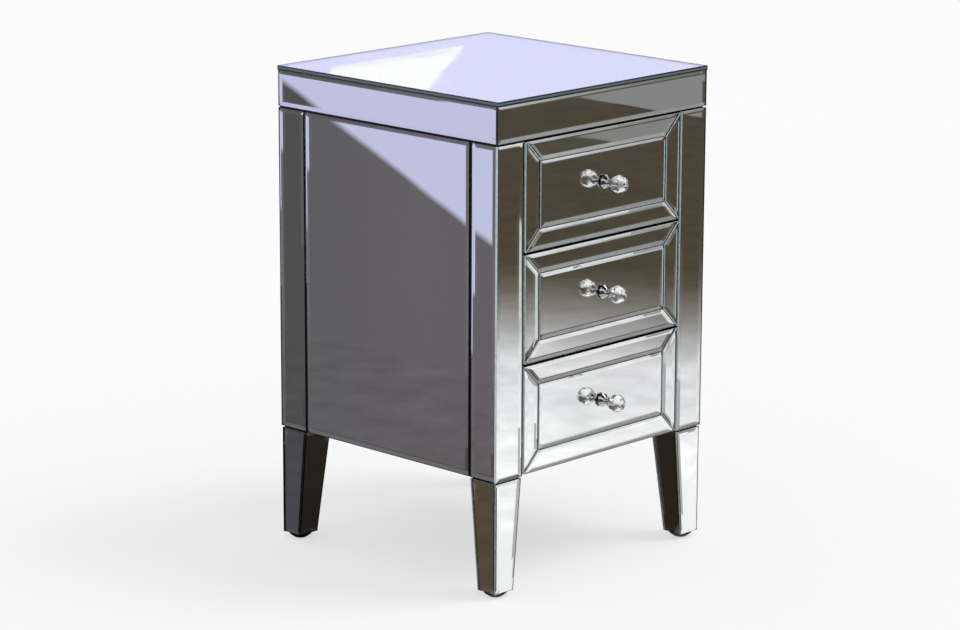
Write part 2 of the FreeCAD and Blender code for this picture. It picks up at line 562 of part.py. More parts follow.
def knob_crystal(name):
    """Cut crystal ball: staggered rings of flat facets, a front table, a flat seat and a screw bore."""
    body = new_body(name)
    raw_ball = body.newObject("PartDesign::AdditiveSphere", "raw_ball")
    raw_ball.setExpression("Radius", RAW_RADIUS)
    facets_round = 16
    rings_each_side = 3
    step = 360 / facets_round
    spindle = [feature for feature in body.Origin.OriginFeatures if feature.Role == "Z_Axis"][0]
    for level in range(-rings_each_side, rings_each_side + 1):
        sketch = outline(body, "XZ_Plane", [
            (FACET_REACH, f"-{WASTE_HALF}"), (WASTE_TOP, f"-{WASTE_HALF}"), (WASTE_TOP, WASTE_HALF),
            (FACET_REACH, WASTE_HALF)], "facet_waste")
        stagger = step / 2 * (level % 2)
        swing = FreeCAD.Rotation(Y_AXIS, stagger) * FreeCAD.Rotation(Z_AXIS, level * step)
        sketch.AttachmentOffset = FreeCAD.Placement(FreeCAD.Vector(), swing)
        facet = body.newObject("PartDesign::Pocket", "facet")
        facet.Profile = sketch
        facet.SideType = "Symmetric"
        facet.setExpression("Length", f"2 * {WASTE_HALF}")
        ring = body.newObject("PartDesign::PolarPattern", "facet_ring")
        ring.Originals = [facet]
        ring.Axis = (spindle, [""])
        ring.Angle = 360
        ring.Occurrences = facets_round
        body.Tip = ring
    for reach, towards_front in ((FACET_REACH, True), (f"-{SEAT_REACH}", False)):
        flat = circle(body, "XY_Plane", "0", "0", f"2 * {RAW_RADIUS}", "flat_waste")
        flat.setExpression("AttachmentOffset.Base.z", reach)
        trim = body.newObject("PartDesign::Pocket", "flat")
        trim.Profile = flat
        trim.Reversed = towards_front
        trim.setExpression("Length", RAW_RADIUS)
    bore = circle(body, "XY_Plane", "0", "0", SCREW_BORE, "screw_bore")
    bore.setExpression("AttachmentOffset.Base.z", f"-{SEAT_REACH}")
    boring = body.newObject("PartDesign::Pocket", "boring")
    boring.Profile = bore
    boring.Reversed = True
    boring.setExpression("Length", "sizes.screw_grip + sizes.screw_play")
    return body


def knob_collar(name):
    """Turned bright collar: a flange on the mirror, a waist, and a cup that seats the crystal."""
    body = new_body(name)
    bore = f"{SCREW_BORE} / 2"
    flange = "(sizes.collar_flange / 2)"
    waist = "(sizes.collar_waist / 2)"
    cup = "(sizes.collar_cup / 2)"
    cup_low = f"({COLLAR_LENGTH} - sizes.cup_rim)"
    waist_high = f"({cup_low} - sizes.cup_flare)"
    waist_low = f"({waist_high} - sizes.waist_length)"
    bell = turned(body, outline(body, "XZ_Plane", [
        (bore, "0"), (flange, "0"), (flange, "sizes.collar_rim"), (waist, waist_low), (waist, waist_high),
        (cup, cup_low), (cup, COLLAR_LENGTH), (bore, COLLAR_LENGTH)], "bell"))
    sweep = ease_rings(body, bell, [(waist, waist_low)], "sizes.collar_sweep")
    ease_rings(body, sweep, [(flange, "sizes.collar_rim"), (cup, cup_low)], "sizes.collar_ease")
    return body


def knob_screw(name):
    """Pan-head screw from inside the drawer, through board, mirror and collar into the crystal."""
    body = new_body(name)
    reach = f"(sizes.front_board + sizes.glass + {COLLAR_LENGTH} + sizes.screw_grip)"
    head = "(sizes.screw_head / 2)"
    shank = "(sizes.screw_diameter / 2)"
    head_end = "-sizes.screw_head_height"
    turned(body, outline(body, "XZ_Plane", [
        ("0", head_end), (f"{head} - sizes.screw_head_round", head_end),
        (head, "sizes.screw_head_round - sizes.screw_head_height"), (head, "0"), (shank, "0"), (shank, reach),
        ("0", reach)], "pan_head"))
    return body


# The three knobs carry the same crystal.
cut_crystal = knob_crystal("cut_crystal")
for level, drawer in enumerate(DRAWERS):
    pitch_line = f"({BODY_BOTTOM} + {level} * sizes.drawer_pitch)"
    front_low = f"({pitch_line} + sizes.drawer_gap / 2)"
    front_middle = f"({front_low} + {FRONT_HEIGHT} / 2)"
    box_low = f"({pitch_line} + sizes.drawer_lift)"
    box_inner = f"({BOX_SIDE} - sizes.drawer_side)"
    box_back = f"({FRONT_BACK} + {DRAWER_LENGTH})"
    panel_low = f"({box_low} + sizes.bottom_lift + sizes.housing_play)"
    panel_edge = f"({box_inner} + sizes.housing - sizes.housing_play)"

    finish(place(front_board(f"{drawer}_front_board"), FRONT_LEFT, FRONT_BACK, front_low),
           f"{drawer}_front_board")
    finish(place(centre_mirror(f"{drawer}_centre_mirror"), f"{FRONT_LEFT} + {INSET}", RIM_FRONT,
                 f"{front_low} + {INSET}"), f"{drawer}_centre_mirror")
    strips = [place(strip, f"{FRONT_LEFT} + {across}", RIM_FRONT, f"{front_low} + {up}")
              for strip, across, up in frame_mirrors(f"{drawer}_strip").values()]
    finish(group(f"{drawer}_frame_mirrors", strips), f"{drawer}_frame_mirrors")

    finish(place(drawer_side(f"{drawer}_left_side"), f"-{BOX_SIDE}", FRONT_BACK, box_low),
           f"{drawer}_left_side")
    right_side = turn(drawer_side(f"{drawer}_right_side"), Z_AXIS, "180")
    finish(place(right_side, BOX_SIDE, box_back, box_low), f"{drawer}_right_side")
    finish(board(f"{drawer}_back", (f"-{box_inner}", box_inner),
                 (f"({box_back} - sizes.drawer_side)", box_back),
                 (f"({box_low} + {HOUSING_TOP})", f"({box_low} + {DRAWER_HEIGHT} - sizes.back_drop)")),
           f"{drawer}_back")
    finish(board(f"{drawer}_bottom", (f"-{panel_edge}", panel_edge),
                 (f"({FRONT_BACK} - sizes.housing + sizes.housing_play)", box_back),
                 (panel_low, f"({panel_low} + sizes.bottom_panel)")), f"{drawer}_bottom")

    knob = (
        (group(f"{drawer}_knob_crystal", [cut_crystal]), f"{FRONT_FACE} - sizes.knob_centre"),
        (knob_collar(f"{drawer}_knob_collar"), FRONT_FACE),
        (knob_screw(f"{drawer}_knob_screw"), FRONT_BACK))
    for piece, seat in knob:
        turn(piece, X_AXIS, "90")
        finish(place(piece, "0", seat, front_middle), piece.Name)

doc.recompute()

# Every feature has to be sound before any file is written.
broken = [feature.Label for feature in doc.Objects if {"Invalid", "Error"} & set(feature.State)]
broken += [piece.Label for piece in finished if piece.Shape.isNull() or not piece.Shape.isValid()]
if broken:
    raise RuntimeError("these features failed: " + ", ".join(broken))
os.makedirs("parts", exist_ok=True)
for piece in finished:
    piece.Shape.exportStep(f"parts/{piece.Label}.step")
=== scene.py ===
import math

import bmesh
import bpy
from mathutils import Matrix, Vector


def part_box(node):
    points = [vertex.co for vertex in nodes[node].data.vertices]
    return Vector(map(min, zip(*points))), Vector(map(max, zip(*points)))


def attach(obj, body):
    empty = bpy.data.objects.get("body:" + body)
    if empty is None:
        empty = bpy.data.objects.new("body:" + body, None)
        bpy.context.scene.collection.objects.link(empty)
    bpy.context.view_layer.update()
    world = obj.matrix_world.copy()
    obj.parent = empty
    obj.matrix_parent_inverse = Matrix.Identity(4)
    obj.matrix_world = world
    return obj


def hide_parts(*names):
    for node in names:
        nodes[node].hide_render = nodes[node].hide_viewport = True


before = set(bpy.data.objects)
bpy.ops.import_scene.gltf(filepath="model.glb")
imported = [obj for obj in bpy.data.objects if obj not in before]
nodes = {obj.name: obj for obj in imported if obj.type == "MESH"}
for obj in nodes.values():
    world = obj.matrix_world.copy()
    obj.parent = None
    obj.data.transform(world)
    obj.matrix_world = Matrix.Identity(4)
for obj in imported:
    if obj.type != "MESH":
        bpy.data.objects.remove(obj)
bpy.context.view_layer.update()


# The carcass boards are fibreboard: a bottom, two sides, a top, two stiles and a rail, glued and
# dowelled. They are sealed and rolled satin black, so that every joint between the mirrors shows
# as a black line.
noise_low = 0.3  # noise seldom leaves the range from here
noise_high = 0.7  # to here


def seen(red, green, blue):
    """A colour as it looks on a screen, as the linear values that a shader takes."""
    return tuple(((part + 0.055) / 1.055) ** 2.4 for part in (red, green, blue)) + (1.0,)


def new_finish(name):
    """A new material, its node tree and its surface shader."""
    finish = bpy.data.materials.new(name)
    finish.use_nodes = True
    return finish, finish.node_tree, finish.node_tree.nodes["Principled BSDF"]


def mottle(tree, scale, detail, stretch=(1.0, 1.0, 1.0)):
    """Noise in the piece's own space; it is drawn out along any way where the stretch is small."""
    space = tree.nodes.new("ShaderNodeTexCoord")
    drawn = tree.nodes.new("ShaderNodeMapping")
    drawn.inputs["Scale"].default_value = stretch
    noise = tree.nodes.new("ShaderNodeTexNoise")
    noise.inputs["Scale"].default_value = scale
    noise.inputs["Detail"].default_value = detail
    tree.links.new(space.outputs["Object"], drawn.inputs["Vector"])
    tree.links.new(drawn.outputs["Vector"], noise.inputs["Vector"])
    return noise.outputs["Fac"]


def shades(tree, amount, *stops):
    """Colours over an amount from 0 to 1. Each stop is a place and a colour, in rising order."""
    ramp = tree.nodes.new("ShaderNodeValToRGB")
    elements = ramp.color_ramp.elements
    while len(elements) < len(stops):
        elements.new(1.0)
    for element, (place, colour) in zip(elements, stops):
        element.position = place
        element.color = colour
    tree.links.new(amount, ramp.inputs["Fac"])
    return ramp.outputs["Color"]


def spread(tree, amount, low, high, start=noise_low, end=noise_high):
    """An amount between start and end, carried over to the values from low to high."""
    mapped = tree.nodes.new("ShaderNodeMapRange")
    mapped.inputs["From Min"].default_value = start
    mapped.inputs["From Max"].default_value = end
    mapped.inputs["To Min"].default_value = low
    mapped.inputs["To Max"].default_value = high
    tree.links.new(amount, mapped.inputs["Value"])
    return mapped.outputs["Result"]


def vary(tree, shader, amount, deep, pale, smooth, dull, low=noise_low, high=noise_high):
    """Lets noise drift a finish from one colour to another, and from one roughness to another."""
    tree.links.new(shades(tree, amount, (low, deep), (high, pale)), shader.inputs["Base Color"])
    tree.links.new(spread(tree, amount, smooth, dull), shader.inputs["Roughness"])


def relief(tree, shader, height, depth):
    """Surface relief of a real depth, in metres."""
    bump = tree.nodes.new("ShaderNodeBump")
    bump.inputs["Distance"].default_value = depth
    tree.links.new(height, bump.inputs["Height"])
    tree.links.new(bump.outputs["Normal"], shader.inputs["Normal"])


def coat(finish, *names):
    """Gives CAD nodes their finish."""
    for name in names:
        nodes[name].material_slots[0].material = finish


satin_black, tree, shader = new_finish("satin_black_paint")
roller_marks = mottle(tree, scale=7.0, detail=4.0)
vary(tree, shader, roller_marks, deep=seen(0.085, 0.083, 0.082), pale=seen(0.125, 0.122, 0.12),
     smooth=0.40, dull=0.60)
relief(tree, shader, mottle(tree, scale=650.0, detail=2.0), depth=0.00004)
coat(satin_black, "bottom_board", "left_side_board", "right_side_board", "top_board",
     "left_stile", "right_stile", "frieze_rail")


# The back is one sheet of hardboard, painted matt black on its outer face and let in flush behind
# the sides. Small zinc-plated screws with low tapered heads hold it to the boards round its edge.
matt_black, tree, shader = new_finish("matt_black_hardboard")
blotches = mottle(tree, scale=9.0, detail=5.0)
vary(tree, shader, blotches, deep=seen(0.12, 0.118, 0.115), pale=seen(0.18, 0.176, 0.17),
     smooth=0.62, dull=0.82, low=0.25, high=0.75)
relief(tree, shader, mottle(tree, scale=420.0, detail=4.0, stretch=(1.0, 1.0, 0.35)), depth=0.00008)
coat(matt_black, "back_board")

zinc_steel, tree, shader = new_finish("zinc_plated_steel")
plating = mottle(tree, scale=900.0, detail=3.0)
shader.inputs["Metallic"].default_value = 1.0
vary(tree, shader, plating, deep=seen(0.62, 0.63, 0.64), pale=seen(0.74, 0.75, 0.76),
     smooth=0.28, dull=0.45)

screw_across = 0.007
screw_crown = 0.00504
screw_height = 0.0016
screw_sides = 24
screw_sink = 0.0002
recess_rim = 0.0007
recess_depth = 0.00096
recess_waist = 0.35  # a share of the reach of the recess's points
screw_margin = 0.012
screws_up = 5
screws_across = 4


def new_piece(name, shape, body, finishes, stands_for=()):
    """A finished mesh as a piece that rides on its body and stands for its CAD nodes."""
    mesh = bpy.data.meshes.new(name)
    shape.to_mesh(mesh)
    shape.free()
    if "custom_normal" in mesh.attributes:
        mesh.attributes.remove(mesh.attributes["custom_normal"])
    for finish in finishes:
        mesh.materials.append(finish)
    piece = bpy.data.objects.new(name, mesh)
    bpy.context.scene.collection.objects.link(piece)
    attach(piece, body)
    if stands_for:
        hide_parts(*stands_for)


def screw_head(shape, middle):
    """A low tapered head that faces the rear, with a four-pointed driver recess."""
    turned = Matrix.Translation(middle) @ Matrix.Rotation(math.radians(-90), 4, "X")
    made = bmesh.ops.create_cone(shape, cap_ends=True, segments=screw_sides, radius1=screw_across / 2,
                                 radius2=screw_crown / 2, depth=screw_height, matrix=turned)
    faces = {face for vert in made["verts"] for face in vert.link_faces}
    recess = max(faces, key=lambda face: face.normal.y)
    bmesh.ops.inset_region(shape, faces=[recess], thickness=recess_rim, use_even_offset=True)
    centre = recess.calc_center_median()
    for vert in recess.verts:
        arm = vert.co - centre
        point = math.cos(2 * math.atan2(arm.z, arm.x)) ** 4
        vert.co = centre + arm * (recess_waist + (1.0 - recess_waist) * point)
    sunk = bmesh.ops.extrude_discrete_faces(shape, faces=[recess])["faces"][0]
    bmesh.ops.translate(shape, verts=sunk.verts, vec=(0.0, -recess_depth, 0.0))


def row(start, end, count):
    """Even places from start to end."""
    return [start + (end - start) * step / (count - 1) for step in range(count)]


back_low, back_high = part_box("back_board")
across_back = row(back_low.x + screw_margin, back_high.x - screw_margin, screws_across)
up_back = row(back_low.z + screw_margin, back_high.z - screw_margin, screws_up)
seats = [(x, z) for x in (across_back[0], across_back[-1]) for z in up_back]
seats += [(x, z) for z in (up_back[0], up_back[-1]) for x in across_back[1:-1]]
screw_heads = bmesh.new()
for x, z in seats:
    screw_head(screw_heads, Vector((x, back_high.y + screw_height / 2 - screw_sink, z)))
new_piece("back_board_screws", screw_heads, "carcass", [zinc_steel])


# Each drawer hangs on a pair of hardwood runners, screwed inside the carcass and let into grooves
# along the drawer's sides. They are planed strips, waxed and not stained.
white = (1.0, 1.0, 1.0, 1.0)
fibre_strength = 0.8


def grain(along, share):
    """A stretch for noise that draws it out along the grain."""
    return [share if axis == along else 1.0 for axis in "xyz"]


def timber(name, along, pale, deep, fibre):
    """Planed timber: broad growth bands and fine fibres drawn out along the grain."""
    finish, tree, shader = new_finish(name)
    bands = mottle(tree, scale=38.0, detail=3.0, stretch=grain(along, 0.05))
    fibres = mottle(tree, scale=900.0, detail=2.0, stretch=grain(along, 0.02))
    mixed = tree.nodes.new("ShaderNodeMix")
    mixed.data_type = "RGBA"
    mixed.blend_type = "MULTIPLY"
    mixed.inputs["Factor"].default_value = fibre_strength
    tree.links.new(shades(tree, bands, (0.32, deep), (0.48, pale), (0.56, deep), (0.68, pale)),
                   mixed.inputs["A"])
    tree.links.new(shades(tree, fibres, (0.34, fibre), (0.52, white)), mixed.inputs["B"])
    tree.links.new(mixed.outputs["Result"], shader.inputs["Base Color"])
    tree.links.new(spread(tree, bands, 0.42, 0.58), shader.inputs["Roughness"])
    relief(tree, shader, fibres, depth=0.00006)
    return finish


runner_wood = timber("waxed_beech", "y", pale=seen(0.80, 0.66, 0.50), deep=seen(0.73, 0.58, 0.42),
                     fibre=seen(0.80, 0.72, 0.64))
coat(runner_wood, "drawer_runners")


# The cladding is silvered float glass, cut to size, with a narrow bevel ground and polished round
# each face. Light goes through the clear sheet to the silver on its back. The sheets are glued to
# the painted boards with narrow gaps, and their rims are seamed so that they don't cut.
silver, tree, shader = new_finish("silvering")
wetting = mottle(tree, scale=6.0, detail=5.0, stretch=(1.0, 1.0, 0.5))
shader.inputs["Metallic"].default_value = 1.0
vary(tree, shader, wetting, deep=seen(0.975, 0.98, 0.976), pale=seen(0.985, 0.988, 0.985),
     smooth=0.004, dull=0.018)
relief(tree, shader, mottle(tree, scale=9.0, detail=1.0), depth=0.00005)

clear_glass, tree, shader = new_finish("clear_float_glass")
wiping = mottle(tree, scale=5.0, detail=5.0, stretch=(1.0, 1.0, 0.5))
shader.inputs["Transmission Weight"].default_value = 1.0
shader.inputs["IOR"].default_value = 1.52
vary(tree, shader, wiping, deep=seen(0.985, 0.995, 0.99), pale=seen(0.992, 1.0, 0.996),
     smooth=0.0, dull=0.006)

black = (0.0, 0.0, 0.0, 1.0)
deep_green = seen(0.06, 0.075, 0.07)
# Where the painted highlight lies across a level sheet's edge, and how it fades.
core_start = 0.36  # shares of a sheet's thickness
core_end = 0.66
core_fade = 0.12


def own_place(tree):
    """The coordinates of a piece's own space."""
    space = tree.nodes.new("ShaderNodeTexCoord")
    split = tree.nodes.new("ShaderNodeSeparateXYZ")
    tree.links.new(space.outputs["Object"], split.inputs["Vector"])
    return split.outputs


def rise(tree, amount, start, end):
    """0 up to a start, 1 from an end on, and an even rise between them."""
    return spread(tree, amount, 0.0, 1.0, start, end)


def band(tree, amount, start, end, fade):
    """1 from a start to an end, falling off to 0 over a fade on either side."""
    return shades(tree, amount, (start - fade, black), (start, white),
                  (end, white), (end + fade, black))


def blended(tree, amount, base, other):
    """A colour laid over a base by an amount from 0 to 1; it may be plain or vary as the base does."""
    mixed = tree.nodes.new("ShaderNodeMix")
    mixed.data_type = "RGBA"
    tree.links.new(amount, mixed.inputs["Factor"])
    tree.links.new(base, mixed.inputs["A"])
    if isinstance(other, tuple):
        mixed.inputs["B"].default_value = other
    else:
        tree.links.new(other, mixed.inputs["B"])
    return mixed.outputs["Result"]


def edge_finish(name, deep, pale, smooth, dull, core=None):
    """The sheet's own edge, between two tones from outside, and dark from within the glass as painted
    shade that keeps the joints dark.
    A core is a painted highlight along the middle of a level sheet's edge: its lowest and highest z,
    and its colour."""
    finish, tree, shader = new_finish(name)
    depth = mottle(tree, scale=160.0, detail=3.0)
    outside = shades(tree, depth, (noise_low, deep), (noise_high, pale))
    # The core band is a painted highlight.
    if core:
        low, high, colour = core
        through = rise(tree, own_place(tree)["Z"], low, high)
        outside = blended(tree, band(tree, through, core_start, core_end, core_fade), outside, colour)
    # From within the glass the edge is dark green: painted shade.
    side = tree.nodes.new("ShaderNodeNewGeometry")
    tree.links.new(blended(tree, side.outputs["Backfacing"], outside, deep_green),
                   shader.inputs["Base Color"])
    tree.links.new(spread(tree, depth, smooth, dull), shader.inputs["Roughness"])
    relief(tree, shader, mottle(tree, scale=800.0, detail=2.0), depth=0.00001)
    return finish


ground_edge = edge_finish("ground_glass_edge", deep=seen(0.72, 0.775, 0.78),
                          pale=seen(0.82, 0.87, 0.875), smooth=0.20, dull=0.35)
# The dark edge finish is painted shade: the sheets on the chest's sides and rear legs and every sheet's
# level edges take it, so that these edges and their joints show dark.
shaded_edge = edge_finish("painted_shade_glass_edge", deep=deep_green, pale=seen(0.10, 0.125, 0.12),
                          smooth=0.16, dull=0.30)

clear_face = 0  # the order of a sheet's finishes
edge_face = 1
silver_face = 2
level_edge_face = 3
weld_distance = 1e-6
flat_angle = math.radians(0.6)
seam = 0.0005
silver_lift = 0.00006
face_lean = math.cos(math.radians(2.0))  # cosines that tell a sheet's faces apart
bevel_lean = math.cos(math.radians(16.0))
level_lean = 0.8
back_lean = -0.9


def closed_copy(node):
    """A CAD node as one closed mesh, with its flat faces whole."""
    shape = bmesh.new()
    shape.from_mesh(nodes[node].data)
    bmesh.ops.remove_doubles(shape, verts=shape.verts, dist=weld_distance)
    bmesh.ops.dissolve_limit(shape, angle_limit=flat_angle, verts=shape.verts, edges=shape.edges)
    return shape


def panes(shape):
    """The separate sheets in a mesh, each as a list of its faces."""
    left = set(shape.faces)
    while left:
        pane = [left.pop()]
        for face in pane:
            for edge in face.edges:
                near = left.intersection(edge.link_faces)
                left -= near
                pane.extend(near)
        yield pane


def sort_faces(shape):
    """Marks each sheet's faces as clear, edge, silver or level edge, and returns the front rims."""
    rims = set()
    for pane in panes(shape):
        across = max(pane, key=lambda face: face.calc_area()).normal.copy()
        ahead = sum(face.calc_area() for face in pane if face.normal.dot(across) > face_lean)
        behind = sum(face.calc_area() for face in pane if face.normal.dot(across) < -face_lean)
        facing = across if ahead < behind else -across
        for face in pane:
            lean = face.normal.dot(facing)
            if lean > bevel_lean:
                face.material_index = clear_face
            elif lean < back_lean:
                face.material_index = silver_face
            elif abs(face.normal.z) > level_lean:
                face.material_index = level_edge_face
            else:
                face.material_index = edge_face
        clear_faces = [face for face in pane if face.material_index == clear_face]
        rims.update(edge for face in clear_faces for edge in face.edges
                    if any(other.material_index in (edge_face, level_edge_face)
                           for other in edge.link_faces))
    return list(rims)


def ease(shape, edges, width, segments):
    """Takes the sharpness off edges, to a width."""
    bmesh.ops.bevel(shape, geom=edges, offset=width, offset_type="OFFSET", segments=segments,
                    profile=0.5, affect="EDGES", material=-1, clamp_overlap=True)


def mirror(node, body="carcass", edge=ground_edge):
    """The sheet or sheets of one node, with seamed rims and a finish for each kind of face; its level
    edges take the dark edge finish of painted shade.
    """
    glass = closed_copy(node)
    ease(glass, sort_faces(glass), seam, segments=2)
    sort_faces(glass)
    for pane in panes(glass):
        backs = [face for face in pane if face.material_index == silver_face]
        lift = -backs[0].normal * silver_lift
        back_verts = {vert for face in backs for vert in face.verts}
        bmesh.ops.translate(glass, verts=list(back_verts), vec=lift)
    new_piece(f"{node}.glass", glass, body,
              [clear_glass, edge, silver, shaded_edge], [node])


# The side sheets and the aprons take the dark edge of painted shade; the front posts take the pale
# ground edge.
for cladding in ("left_side_mirror", "right_side_mirror", "left_post_mirrors", "right_post_mirrors",
                 "left_apron_mirror", "right_apron_mirror", "front_apron_mirror"):
    mirror(cladding, edge=shaded_edge)
for cladding in ("front_left_post_mirror", "front_right_post_mirror"):
    mirror(cladding)


# The top is one thicker sheet of silvered glass that covers the box out to its faces.
# Its edge is ground flat, polished dark green and left on show, with a fine arris round the top; a
# paler band along its middle is a painted highlight.
top_low, top_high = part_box("top_mirror")
polished_edge = edge_finish("polished_glass_edge", deep=seen(0.07, 0.11, 0.108),
                            pale=seen(0.13, 0.19, 0.185), smooth=0.05, dull=0.12,
                            core=(top_low.z, top_high.z, seen(0.36, 0.41, 0.43)))
mirror("top_mirror", edge=polished_edge)


# Each leg is a tapered fibreboard core, painted black and bolted up into the bottom board.
# Four bevelled mirrors are glued round it, and a moulded black glide is pinned under its foot.
black_plastic, tree, shader = new_finish("moulded_black_plastic")
moulding = mottle(tree, scale=240.0, detail=3.0)
vary(tree, shader, moulding, deep=seen(0.035, 0.035, 0.037), pale=seen(0.06, 0.06, 0.062),
     smooth=0.42, dull=0.60)
shader.inputs["Specular IOR Level"].default_value = 0.2
relief(tree, shader, mottle(tree, scale=1800.0, detail=2.0), depth=0.00003)
matt_edge = edge_finish("matt_glass_edge", deep=seen(0.50, 0.53, 0.525), pale=seen(0.62, 0.65, 0.645),
                        smooth=0.20, dull=0.35)
# The rear legs' sheets take the dark edge of painted shade.
for corner, edge in (("front_left", matt_edge), ("front_right", matt_edge),
                     ("rear_left", shaded_edge), ("rear_right", shaded_edge)):
    coat(satin_black, f"{corner}_leg_core")
    mirror(f"{corner}_leg_mirrors", edge=edge)
coat(zinc_steel, "leg_bolts")
coat(black_plastic, "foot_glides")


# The drawers are boxes of planed pale timber, grooved and glued, with a thin plywood bottom slid in
# from behind. The front boards are fibreboard, painted black before the mirrors are glued on.
drawer_names = ("bottom_drawer", "middle_drawer", "top_drawer")
pale_fibre = seen(0.84, 0.77, 0.68)
side_wood = timber("pale_timber_along", "y", pale=seen(0.87, 0.77, 0.61), deep=seen(0.81, 0.69, 0.52),
                   fibre=pale_fibre)
back_wood = timber("pale_timber_across", "x", pale=seen(0.86, 0.76, 0.60), deep=seen(0.80, 0.68, 0.51),
                   fibre=pale_fibre)
plywood = timber("birch_plywood", "x", pale=seen(0.88, 0.80, 0.66), deep=seen(0.84, 0.74, 0.59),
                 fibre=seen(0.88, 0.82, 0.75))
for drawer in drawer_names:
    coat(satin_black, f"{drawer}_front_board")
    coat(side_wood, f"{drawer}_left_side", f"{drawer}_right_side")
    coat(back_wood, f"{drawer}_back")
    coat(plywood, f"{drawer}_bottom")


# Each drawer front carries five bevelled mirrors, glued on: a centre sheet, drilled for the knob,
# and four strips mitred round it like a picture frame. The top drawer's upper strip is glued a hair
# out of true, with the lower edge of its silver forward, and shows what is a little further up.
strip_slack = 0.00026
for drawer in drawer_names:
    mirror(f"{drawer}_frame_mirrors", drawer)
    mirror(f"{drawer}_centre_mirror", drawer)
top_strips = bpy.data.objects["top_drawer_frame_mirrors.glass"].data
strip_silver = [face for face in top_strips.polygons if face.material_index == silver_face]
upper_silver = max(strip_silver, key=lambda face: face.center.z)
for corner in upper_silver.vertices:
    if top_strips.vertices[corner].co.z < upper_silver.center.z:
        top_strips.vertices[corner].co.y -= strip_slack


# The knobs are balls of clear crystal, cut with rings of flat facets and polished, on bright turned
# collars. A screw from inside the drawer goes through board, mirror and collar and holds the ball.
crystal, tree, shader = new_finish("cut_crystal")
polish = mottle(tree, scale=260.0, detail=2.0)
shader.inputs["Transmission Weight"].default_value = 1.0
shader.inputs["IOR"].default_value = 1.55
vary(tree, shader, polish, deep=seen(0.985, 0.99, 0.992), pale=white, smooth=0.0, dull=0.006)

bright_metal, tree, shader = new_finish("bright_plated_metal")
buffing = mottle(tree, scale=420.0, detail=3.0)
shader.inputs["Metallic"].default_value = 1.0
vary(tree, shader, buffing, deep=seen(0.73, 0.735, 0.74), pale=seen(0.79, 0.795, 0.80),
     smooth=0.03, dull=0.09)

facet_ease = 0.00008
facet_angle = math.radians(4.0)
for drawer in drawer_names:
    ball = closed_copy(f"{drawer}_knob_crystal")
    facet_edges = [edge for edge in ball.edges if edge.calc_face_angle(0.0) > facet_angle]
    ease(ball, facet_edges, facet_ease, segments=1)
    new_piece(f"{drawer}_knob_crystal.cut", ball, drawer, [crystal],
              [f"{drawer}_knob_crystal"])
    coat(bright_metal, f"{drawer}_knob_collar")
    coat(zinc_steel, f"{drawer}_knob_screw")


# The stage is a plain white floor that runs out of sight. Three fifths or so of what the camera, the
# mirrors and the crystal see of it is an even white, and the rest takes the chest's shadow.
def level(start, end, height):
    """The corners of a level sheet, from its front left place and its rear right one."""
    (left, front), (right, rear) = start, end
    return [(left, front, height), (right, front, height), (right, rear, height), (left, rear, height)]


def sheet(name, corners, finish):
    """A flat sheet of the stage from its corners."""
    shape = bmesh.new()
    shape.faces.new([shape.verts.new(corner) for corner in corners])
    mesh = bpy.data.meshes.new(name)
    shape.to_mesh(mesh)
    shape.free()
    mesh.materials.append(finish)
    made = bpy.data.objects.new(name, mesh)
    bpy.context.scene.collection.objects.link(made)
    return made


def combined(tree, operation, total, *amounts):
    """Amounts taken together by one operation, such as the product or the largest of them."""
    for amount in amounts:
        step = tree.nodes.new("ShaderNodeMath")
        step.operation = operation
        tree.links.new(total, step.inputs[0])
        tree.links.new(amount, step.inputs[1])
        total = step.outputs["Value"]
    return total


def looked_at(tree):
    """1 where the camera looks, straight or by way of metal and glass, and 0 for light on its way."""
    rays = tree.nodes.new("ShaderNodeLightPath").outputs
    return combined(tree, "MAXIMUM", rays["Is Camera Ray"], rays["Is Glossy Ray"],
                    rays["Is Transmission Ray"])


floor_reach = 40.0
floor_white = 0.62
pale_floor, tree, shader = new_finish("pale_floor")
drift = mottle(tree, scale=0.4, detail=2.0)
tree.links.new(shades(tree, drift, (noise_low, seen(0.955, 0.955, 0.955)),
                      (noise_high, seen(0.965, 0.965, 0.965))), shader.inputs["Base Color"])
shader.inputs["Roughness"].default_value = 0.9
shader.inputs["Specular IOR Level"].default_value = 0.0
even_white = tree.nodes.new("ShaderNodeEmission")
whitened = tree.nodes.new("ShaderNodeMixShader")
tree.links.new(spread(tree, looked_at(tree), 0.0, floor_white, 0.0, 1.0), whitened.inputs["Fac"])
tree.links.new(shader.outputs["BSDF"], whitened.inputs[1])
tree.links.new(even_white.outputs["Emission"], whitened.inputs[2])
tree.links.new(whitened.outputs["Shader"], tree.nodes["Material Output"].inputs["Surface"])
sheet("floor", level((-floor_reach, -floor_reach), (floor_reach, floor_reach), 0.0), pale_floor)


# Glowing studio cards stand round the chest and lie on the floor, with light and shade painted on them,
# to give the mirrors something to show.
# Only reflections and the crystal see them: they stay out of the picture and cast no light or shadow.
def card(name, corners, finish):
    """A sheet that shows only in reflections and through the crystal."""
    made = sheet(name, corners, finish)
    made.visible_camera = False
    made.visible_diffuse = False
    made.visible_shadow = False
    made.visible_volume_scatter = False


def upright(start, end, top):
    """The corners of an upright sheet, from the places of its two feet and its height."""
    return [(*start, 0.0), (*end, 0.0), (*end, top), (*start, top)]


def card_finish(name):
    """A card's even glow, with the card's own coordinates to spread tones by."""
    finish, tree, shader = new_finish(name)
    tree.nodes.remove(shader)
    glow = tree.nodes.new("ShaderNodeEmission")
    tree.links.new(glow.outputs["Emission"], tree.nodes["Material Output"].inputs["Surface"])
    return finish, tree, glow, own_place(tree)


